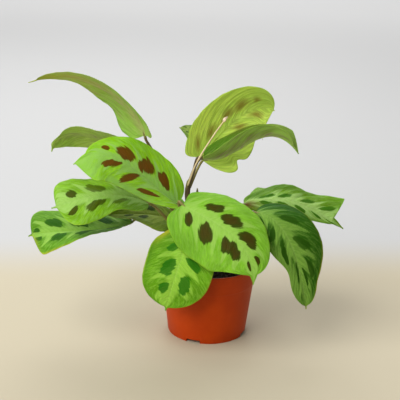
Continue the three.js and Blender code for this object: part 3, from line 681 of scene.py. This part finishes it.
def pot_piece(material):
    """The pot, turned from its profile, with notches in its foot and drain holes cut through."""
    top, lip, base, step = POT_HEIGHT, POT_TOP_RADIUS, POT_BASE_RADIUS, RIM_STEP
    button, under = CENTRE_FOOT_RADIUS, FLOOR_UNDERSIDE
    band = top - RIM_BAND
    foot = base - FOOT_WIDTH
    profile = [
        (0, 0), (button - 0.5, 0), (button - 0.1, 0.15), (button, 0.6), (button, under), (foot, under),
        (foot, 0.6), (foot + 0.15, 0.12), (foot + 0.6, 0), (base - 0.7, 0), (base - 0.15, 0.15),
        (wall_at(0.8), 0.8), (wall_at(band * 0.35), band * 0.35), (wall_at(band * 0.7), band * 0.7),
        (wall_at(band - 0.5), band - 0.5), (wall_at(band) + 0.08, band),
        (wall_at(band) + step - 0.1, band + 0.75), (wall_at(band) + step, band + 1.2),
        (wall_at(top - 10) + step, top - 10), (wall_at(top - 2.2) + step - 0.1, top - 2.2),
        (lip - 0.12, top - 1.6), (lip, top - 0.9), (lip - 0.12, top - 0.35), (lip - 0.45, top - 0.06),
        (lip - 0.9, top), (lip - 1.5, top - 0.1), (lip - 1.85, top - 0.5), (lip - 2.0, top - 1.2),
        (wall_at(60) - WALL, 60), (wall_at(30) - WALL, 30), (wall_at(7) - WALL, 7),
        (wall_at(FLOOR_TOP) - WALL - FLOOR_FILLET, FLOOR_TOP), (0, FLOOR_TOP),
    ]
    bm = bmesh.new()
    verts = [bm.verts.new((radius * MM, 0, z * MM)) for radius, z in profile]
    edges = [bm.edges.new(pair) for pair in zip(verts, verts[1:])]
    bmesh.ops.spin(bm, geom=verts + edges, cent=(0, 0, 0), axis=(0, 0, 1), angle=2 * pi,
                   steps=POT_SEGMENTS, use_merge=True)
    bmesh.ops.remove_doubles(bm, verts=bm.verts, dist=1e-6)
    bmesh.ops.recalc_face_normals(bm, faces=bm.faces)
    pot = finish_piece(bm, "nursery_pot", "pot", material)
    cutter_bm = bmesh.new()
    for angle in NOTCH_ANGLES:
        turn = Matrix.Rotation(radians(angle), 4, "Z")
        middle = Matrix.Translation((POT_BASE_RADIUS * MM - FOOT_WIDTH * MM / 2, 0, 0))
        size = Matrix.Diagonal((FOOT_WIDTH * 2 * MM, NOTCH_WIDTH * MM, NOTCH_HEIGHT * 2 * MM, 1))
        bmesh.ops.create_cube(cutter_bm, size=1, matrix=turn @ middle @ size)
    for i in range(DRAIN_HOLES):
        turn = Matrix.Rotation((i + 0.5) * 2 * pi / DRAIN_HOLES, 4, "Z")
        middle = Matrix.Translation((DRAIN_CIRCLE * MM, 0, 4 * MM))
        bmesh.ops.create_cone(cutter_bm, cap_ends=True, segments=32, radius1=DRAIN_RADIUS * MM,
                              radius2=DRAIN_RADIUS * MM, depth=12 * MM, matrix=turn @ middle)
    cutter = add_object("pot_cuts", mesh_from(cutter_bm, "pot_cuts"))
    cut = pot.modifiers.new("notches_and_holes", "BOOLEAN")
    cut.operation = "DIFFERENCE"
    cut.solver = "EXACT"
    cut.object = cutter
    bpy.context.view_layer.update()
    cut_mesh = bpy.data.meshes.new_from_object(pot.evaluated_get(bpy.context.evaluated_depsgraph_get()))
    pot.modifiers.clear()
    pot.data = cut_mesh
    cut_mesh.name = "nursery_pot"
    bpy.data.objects.remove(cutter)
    cut_mesh.shade_smooth()
    cut_mesh.set_sharp_from_angle(angle=radians(SHARP_EDGE_ANGLE))
    return pot


def mix_piece(material):
    """The top of the mix as an uneven disc, closed below, with loose crumbs and bits of bark on it."""
    bm = bmesh.new()
    surface = bmesh.ops.create_grid(bm, x_segments=96, y_segments=96, size=1)["verts"]

    def level(x, y):
        wide = sin(x * 0.16 + 0.6) * cos(y * 0.13 - 0.4)
        fine = sin(x * 0.41 - y * 0.33 + 1.1)
        return MIX_LEVEL + 1.1 * (wide + 0.5 * fine)

    for vert in surface:
        x, y = vert.co.x, vert.co.y
        px = MIX_RADIUS * x * sqrt(1 - y * y / 2)
        py = MIX_RADIUS * y * sqrt(1 - x * x / 2)
        rough = noise.fractal(Vector((px, py, 3.1)) * 0.35, 0.9, 2.1, 4)
        pits = abs(noise.noise(Vector((px, py, 9.7)) * 0.8))
        vert.co = Vector((px, py, level(px, py) - 0.4 + 0.9 * rough - 0.9 * pits)) * MM
    skirt = bmesh.ops.extrude_edge_only(bm, edges=[edge for edge in bm.edges if edge.is_boundary])["geom"]
    low = [item for item in skirt if isinstance(item, bmesh.types.BMVert)]
    for vert in low:
        vert.co.x *= 0.995
        vert.co.y *= 0.995
        vert.co.z = (MIX_LEVEL - MIX_DEPTH) * MM
    bmesh.ops.holes_fill(bm, edges=[edge for edge in bm.edges if edge.is_boundary], sides=0)
    bmesh.ops.recalc_face_normals(bm, faces=bm.faces)
    rng = random.Random(41)
    for index in range(MIX_CRUMBS):
        reach = MIX_RADIUS * 0.97 * sqrt(rng.random())
        turn = rng.uniform(0, 2 * pi)
        x, y = reach * cos(turn), reach * sin(turn)
        radius = rng.choice(CRUMB_RADII)
        stretch = (1, 1, 0.8) if index % 5 else (2.6, 0.7, 0.5)
        place = (
            Matrix.Translation(Vector((x, y, level(x, y) + 0.2 * radius)) * MM)
            @ Matrix.Rotation(rng.uniform(0, pi), 4, "Z")
            @ Matrix.Rotation(rng.uniform(-0.5, 0.5), 4, "Y")
            @ Matrix.Diagonal((*(part * radius * MM for part in stretch), 1))
        )
        crumb = bmesh.ops.create_icosphere(bm, subdivisions=1, radius=1, matrix=place)["verts"]
        centre = Vector((x, y, level(x, y))) * MM
        for vert in crumb:
            vert.co = centre + (vert.co - centre) * rng.uniform(0.78, 1.2)
    return finish_piece(bm, "mix_surface", "potting_mix", material, smooth_faces=False)


# Materials --------------------

# Linear colours that every blade shares.
DEEP_GREEN = (0.006, 0.07, 0.002, 1)
LIGHT_RIB = (0.6, 0.72, 0.36, 1)
YELLOWED = (0.5, 0.42, 0.03, 1)
RUSTED = (0.12, 0.045, 0.014, 1)
PALE_BELOW = (0.42, 0.5, 0.26, 1)
DARK_BELOW = (0.08, 0.16, 0.01, 1)
# Painted shade for the deep areas on the underside.
PAINTED_SHADE_BELOW = (0.06, 0.16, 0.01, 1)


def shown(colour):
    """A colour as shown, 0 to 255, as the linear values that a shader takes."""
    return (*(((c / 255 + 0.055) / 1.055) ** 2.4 if c > 10 else c / 255 / 12.92 for c in colour), 1)


def reckoned(operation, swapped=False):
    """A method that makes a Math node of a value and another value or a number."""
    def made(self, other):
        pair = (other, self) if swapped else (self, other)
        return self.nodes.math(operation, *pair)
    return made


class Value:
    """A socket to reckon with."""

    __add__, __radd__ = reckoned("ADD"), reckoned("ADD", True)
    __sub__, __rsub__ = reckoned("SUBTRACT"), reckoned("SUBTRACT", True)
    __mul__, __truediv__ = reckoned("MULTIPLY"), reckoned("DIVIDE")

    def __init__(self, nodes, socket):
        self.nodes, self.socket = nodes, socket

    def clamped(self):
        self.socket.node.use_clamp = True
        return self


class Nodes:
    """Short names for the nodes of one tree."""

    def __init__(self, tree):
        self.tree = tree

    def fill(self, node, values):
        """Links values to a node's inputs, or sets plain ones. Gives its outputs by name and index."""
        for label, value in values.items():
            if isinstance(value, Value):
                self.tree.links.new(value.socket, node.inputs[label])
            elif value is not None:
                node.inputs[label].default_value = value
        given = [Value(self, socket) for socket in node.outputs]
        return {**dict(enumerate(given)), **{value.socket.name: value for value in given}}

    def add(self, kind, values, **settings):
        node = self.tree.nodes.new(kind)
        for name, value in settings.items():
            setattr(node, name, value)
        return self.fill(node, values)

    def math(self, operation, a, b=None):
        return self.add("ShaderNodeMath", {0: a, 1: b}, operation=operation)[0]

    def ramp(self, value, low, high):
        """0 at low and 1 at high, smoothly."""
        values = {"Value": value, "From Min": low, "From Max": high}
        return self.add("ShaderNodeMapRange", values, interpolation_type="SMOOTHSTEP")["Result"]

    def mix(self, amount, a, b):
        return self.add("ShaderNodeMix", {0: amount, 6: a, 7: b}, data_type="RGBA")[2]

    def noise(self, vector, scale, detail=2.0, roughness=0.5):
        values = {"Vector": vector, "Scale": scale, "Detail": detail, "Roughness": roughness}
        return self.add("ShaderNodeTexNoise", values)["Fac"]

    def combine(self, x, y, z):
        return self.add("ShaderNodeCombineXYZ", {"X": x, "Y": y, "Z": z})["Vector"]

    def split(self, vector):
        parts = self.add("ShaderNodeSeparateXYZ", {"Vector": vector})
        return [parts[axis] for axis in "XYZ"]

    def object_place(self):
        return self.add("ShaderNodeTexCoord", {})["Object"]

    def kept(self, name):
        """A vector that the piece keeps at each of its points."""
        return self.add("ShaderNodeAttribute", {}, attribute_name=name)["Vector"]


def group(name, inputs, outputs):
    """A node group with its sockets by kind: its nodes, its inputs by name and its output node."""
    tree = bpy.data.node_groups.new(name, "ShaderNodeTree")
    for way, kinds in (("INPUT", inputs), ("OUTPUT", outputs)):
        for kind, labels in kinds.items():
            for label in labels:
                tree.interface.new_socket(name=label, in_out=way, socket_type="NodeSocket" + kind)
    n = Nodes(tree)
    return n, n.add("NodeGroupInput", {}), tree.nodes.new("NodeGroupOutput")


def leaf_pattern():
    """Ground, feather, blotches, side veins, margin and underside of a prayer plant's blade."""
    n, src, given = group(
        "prayer plant blade",
        {"Vector": ("Place", "Marks", "Tints"), "Color": BLADE_COLOURS,
         "Float": ("Show Through", "Softness", "Rib Spread", "Seed")},
        {"Color": ("Color",), "Float": ("Roughness", "Height")},
    )
    share, column, vein = n.split(src["Place"])
    inside, feather, upper = n.split(src["Marks"])
    depth, yellow, brown = n.split(src["Tints"])
    away = n.math("ABSOLUTE", column)
    softness = src["Softness"]

    def strokes(lengthwise, many, crosswise, detail=2.0, roughness=0.5, seed=src["Seed"]):
        """Noise that changes fast along the blade and slowly towards the margin."""
        return n.noise(n.combine(lengthwise * many, column * crosswise, seed), 1.0, detail, roughness)

    # Long teeth along the fine side veins at the ends of a blotch, smoother flanks.
    nibble = strokes(vein, 85, 9, roughness=0.6)
    edge = inside + (strokes(vein, 26, 2.6) - 0.45) * 1.15 + (nibble - 0.5) * 0.3
    blotch = n.ramp(edge, -0.05, 0.2) * (depth * 0.97)
    # Fine side veins and broader strokes along them.
    fine = strokes(vein, 46, 5, 3.0, 0.7)
    streak = n.ramp(fine, 0.4, 0.66)
    broad = strokes(vein, 19, 3, 3.0, 0.65)
    stroke = n.ramp(broad, 0.42, 0.62)
    # Upper face: ground, feather, painted shade of the deep areas, blotches, midrib, margin, yellow and
    # rust.
    patchy = strokes(share, 4, 3)
    darker = n.mix(0.6, src["Ground"], DEEP_GREEN)
    ground = n.mix(n.ramp(patchy, 0.7, 0.35) * 0.36, src["Ground"], darker)
    ground = n.mix(stroke * 0.36, ground, darker)
    ground = n.mix(streak * 0.44, ground, src["Feather"])
    ground = n.mix(n.ramp(nibble, 0.4, 0.66) * 0.3, ground, darker)
    branch = strokes(vein, 24, 2.5)
    pale = n.ramp(feather + (branch + nibble - 1.0) * 0.5, 0.2, 0.85)
    face = n.mix(pale * (0.72 + streak * 0.28), ground, src["Feather"])
    # Painted shade: the deep areas, kept as negative brown, darken the green.
    deep = (brown * -1.0 * (0.6 + fine * 0.8)).clamped()
    face = n.mix(deep, face, darker)
    dark = n.mix(n.ramp(edge - strokes(share, 17, 6), -0.55, 0.25), src["Blotch Edge"], src["Blotch"])
    dark = n.mix(n.ramp(fine, 0.5, 0.8) * 0.25, dark, src["Blotch Edge"])
    face = n.mix(blotch, face, dark)
    rib = n.ramp(away, 0.04, 0.012) * n.ramp(share, 1.0, 0.7)
    face = n.mix(rib * 0.12, face, n.mix(0.3, src["Feather"], LIGHT_RIB))
    margin = n.ramp(away + (patchy - 0.5) * 0.05, 0.955, 0.99)
    face = n.mix(margin * 0.3, face, src["Margin"])
    warm = (yellow * (0.6 + fine * 0.8)).clamped()
    face = n.mix(warm, face, YELLOWED)
    face = n.mix((brown * (0.5 + fine)).clamped(), face, RUSTED)
    # Underside: streaks, tinged side veins, blotches showing through, rib and margin.
    below = n.mix(streak * 0.4, src["Under"], n.mix(0.5, src["Under"], PALE_BELOW))
    below = n.mix(stroke * 0.7, below, n.mix(0.45, src["Under"], DARK_BELOW))
    tinged = n.ramp(strokes(vein, 30, 2, seed=src["Seed"] + 5), 0.52, 0.68)
    below = n.mix(tinged * 0.5, below, src["Under Rib"])
    blurred = inside + (fine - 0.5) * (softness * 3.2)
    spread = ((blurred + softness) / (softness * 2.4)).clamped()
    ghost = n.mix(n.ramp(fine, 0.3, 0.7), src["Blotch"], src["Blotch Edge"])
    below = n.mix(spread * src["Show Through"], below, ghost)
    beside_rib = (1.0 - away / (src["Rib Spread"] * (branch + fine))).clamped()
    striped = n.ramp(beside_rib * n.ramp(share, 1.05, 0.55), 0.0, 0.7) * (0.35 + tinged * 0.5)
    below = n.mix(striped, below, src["Under Rib"])
    # Painted shade of the deep areas, half as strong below.
    below = n.mix(deep * 0.5, below, PAINTED_SHADE_BELOW)
    below = n.mix(margin * 0.3, below, src["Margin"])
    below = n.mix(warm * 0.6, below, YELLOWED)
    n.fill(given, {
        "Color": n.mix(upper, below, face),
        "Roughness": 0.44 + fine * 0.2 + blotch * 0.05 - upper * 0.02,
        "Height": broad * 1.8 + fine * 1.0 + strokes(share, 260, 150) * 0.25,
    })
    return n.tree


def stalk_skin():
    """Skin of a stalk: a dark and a light colour by its tint, streaks along it and a greener top."""
    n, src, given = group(
        "stalk skin",
        {"Vector": ("Place", "Spot"), "Color": STALK_COLOURS},
        {"Color": ("Color",), "Float": ("Roughness", "Height")},
    )
    share, tint, angle = n.split(src["Place"])
    turned = angle * (2 * pi)
    around = [n.math(part, turned) * 3.2 for part in ("COSINE", "SINE")]
    lines = n.noise(n.combine(*around, share * 3.0), 1.6, 3.0)
    blotches = n.noise(src["Spot"], 140.0, 3.0)
    colour = n.mix((tint + (blotches - 0.5) * 0.7).clamped(), src["Light"], src["Dark"])
    colour = n.mix(n.ramp(lines, 0.55, 0.72) * 0.5, colour, src["Stripe"])
    n.fill(given, {
        "Color": n.mix(n.ramp(share, 0.8, 1.0) * 0.35, colour, src["Top"]),
        "Roughness": 0.4 + lines * 0.25,
        "Height": lines + blotches * 0.3,
    })
    return n.tree


def material(name, **constants):
    """A new material, its node helper and its Principled shader, with the given constants set on it."""
    made = bpy.data.materials.new(name)
    made.use_nodes = True
    n = Nodes(made.node_tree)
    shader = made.node_tree.nodes["Principled BSDF"]
    n.fill(shader, {label.replace("_", " "): value for label, value in constants.items()})
    return made, n, shader


def feed(n, shader, colour, roughness, height, strength, distance):
    """Feeds the shader its colour, its roughness and a bump of the given height."""
    bump = n.add("ShaderNodeBump", {"Height": height, "Strength": strength, "Distance": distance})
    n.fill(shader, {"Base Color": colour, "Roughness": roughness, "Normal": bump["Normal"]})


def blade_material(name, look, seed, pattern):
    """A satin blade in the colours of its look, a little light passing through it."""
    made, n, shader = material(
        "blade " + name, Subsurface_Weight=0.3, Subsurface_Radius=(0.9, 1.3, 0.4),
        Subsurface_Scale=0.0008, Specular_IOR_Level=0.06)
    show_through, softness, rib_spread = UNDERSIDES.get(look, UNDERSIDES["plain"])
    out = n.add("ShaderNodeGroup", {
        "Place": n.kept("leaf_place"), "Marks": n.kept("leaf_marks"), "Tints": n.kept("leaf_tints"),
        **{label: shown(colour) for label, colour in zip(BLADE_COLOURS, LOOKS[look])},
        "Show Through": show_through, "Softness": softness, "Rib Spread": rib_spread, "Seed": seed,
    }, node_tree=pattern)
    feed(n, shader, out["Color"], out["Roughness"], out["Height"], 0.6, 0.0009)
    return made


def stalk_material(name, skin, *colours):
    """The skin of the living stalks, or of the dried one."""
    made, n, shader = material(name)
    out = n.add("ShaderNodeGroup", {
        "Place": n.kept("stalk_place"), "Spot": n.object_place(),
        **{label: shown(colour) for label, colour in zip(STALK_COLOURS, colours)},
    }, node_tree=skin)
    feed(n, shader, out["Color"], out["Roughness"], out["Height"], 0.4, 0.0002)
    return made


def pot_material():
    """Moulded plastic: a soft sheen, faint turning lines, scuffs, and dust of the mix near lip and foot."""
    made, n, shader = material("moulded pot plastic", Specular_IOR_Level=0.15)
    spot = n.object_place()
    x, y, z = n.split(spot)
    cloud = n.noise(spot, 38.0, 3.0)
    scuff = n.noise(n.combine(x * 60, y * 60, z * 520), 1.0, 4.0, 0.65)
    specks = n.noise(spot, 900.0, 2.0)
    colour = n.mix(n.ramp(cloud, 0.3, 0.75), shown((176, 56, 0)), shown((188, 63, 0)))
    colour = n.mix(n.ramp(scuff, 0.62, 0.8) * 0.14, colour, shown((204, 84, 30)))
    near_lip_or_foot = n.ramp(z, 0.066, 0.0755) + n.ramp(z, 0.008, 0.0)
    dust = n.ramp(specks, 0.63, 0.72) * near_lip_or_foot
    colour = n.mix(dust * 0.45, colour, shown((74, 48, 34)))
    rings = n.math("SINE", z * (2 * pi / (TURNING_LINE * MM)))
    height = rings * 0.12 + (scuff + specks * 0.3)
    feed(n, shader, colour, 0.4 + scuff * 0.16 + dust * 0.3, height, 0.12, 0.0002)
    return made


def mix_material():
    """Very dark mix with paler bits in it."""
    made, n, shader = material("dark potting mix")
    spot = n.object_place()
    lumps = n.noise(spot, 420.0, 4.0, 0.65)
    bits = n.noise(spot, 95.0, 3.0)
    colour = n.mix(n.ramp(lumps, 0.3, 0.75), shown((20, 15, 12)), shown((46, 35, 27)))
    colour = n.mix(n.ramp(bits, 0.58, 0.72) * 0.6, colour, shown((74, 54, 36)))
    feed(n, shader, colour, 0.72 + lumps * 0.25, lumps, 0.9, 0.0006)
    return made


# The plant --------------------

pattern = leaf_pattern()
skin = stalk_skin()
pot_piece(pot_material())
mix_piece(mix_material())
stalk_finish = stalk_material("leaf stalk skin", skin, *LIVING_STALK)
for name, shoot in SHOOTS.items():
    shoot_piece(name, shoot, stalk_finish)
flower_piece(stalk_material("dried flower stalk", skin, *DRIED_STALK))
for index, (name, blade) in enumerate(BLADES.items()):
    finish = blade_material(name.replace("_", " "), blade["look"], index * 3.7 + 1.1, pattern)
    blade_piece(name, blade, finish)

# Stage --------------------


def floor_material():
    """Pale floor, warm near the pot and grey farther off; lighter still at the far end, painted light where
    the lamps' light falls off.
    """
    made, n, shader = material("pale floor", Roughness=0.7)
    spot = n.object_place()
    x, y, _ = n.split(spot)
    near = n.mix(n.noise(spot, 3.0), shown((178, 168, 145)), shown((184, 176, 154)))
    # Painted light: the grey gets lighter towards the far end, where less lamp light reaches.
    far = n.mix(n.ramp(y, 1.2, 3.4), shown((180, 181, 183)), shown((204, 205, 207)))
    n.fill(shader, {"Base Color": n.mix(n.ramp(y - x * 0.086, 0.13, 0.29), near, far)})
    return made


floor_bm = bmesh.new()
bmesh.ops.create_grid(floor_bm, x_segments=8, y_segments=8, size=7)
floor = add_object("floor", mesh_from(floor_bm, "floor"))
floor.data.materials.append(floor_material())


def soft_light(name, place, size, power, colour, at=(-0.02, 0, 0.13)):
    """A round soft light that looks at a point, all in metres."""
    lamp = bpy.data.lights.new(name, "AREA")
    lamp.shape = "DISK"
    lamp.size = size
    lamp.energy = power
    lamp.color = colour
    holder = add_object(name, lamp)
    holder.location = place
    holder.rotation_mode = "QUATERNION"
    holder.rotation_quaternion = (Vector(at) - Vector(place)).to_track_quat("-Z", "Y")


soft_light("window light", (-1.65, -1.4, 2.2), 3.0, 118, (1.0, 0.99, 0.96))
soft_light("back light", (-0.3, 1.4, 1.5), 1.4, 14, (1.0, 0.99, 0.97))
soft_light("far light", (0, 5.0, 3.6), 6.5, 190, (1.0, 0.99, 0.98), (0, 5.1, 0))
scene = bpy.context.scene
scene.world = bpy.data.worlds.new("studio")
scene.world.use_nodes = True
background = scene.world.node_tree.nodes["Background"]
background.inputs["Color"].default_value = (0.93, 0.92, 0.88, 1)
background.inputs["Strength"].default_value = 0.37
scene.view_settings.view_transform = "Standard"

# Camera at the photograph's angle: 0.9 m in front, 17 degrees down, leaning a little.
CAMERA_PLACE = Vector((-0.0109, -0.9048, 0.4258))
CAMERA_DOWN = radians(17.41)
CAMERA_LEAN = radians(1.7)
FOCAL_PIXELS = 926.4
SENSOR_WIDTH = 36
PICTURE_PIXELS = 400
camera = add_object("camera", bpy.data.cameras.new("camera"))
camera.data.sensor_width = SENSOR_WIDTH
camera.data.lens = SENSOR_WIDTH * FOCAL_PIXELS / PICTURE_PIXELS
camera.matrix_world = (
    Matrix.Translation(CAMERA_PLACE)
    @ Matrix.Rotation(pi / 2 - CAMERA_DOWN, 4, "X")
    @ Matrix.Rotation(CAMERA_LEAN, 4, "Z")
)
scene.camera = camera
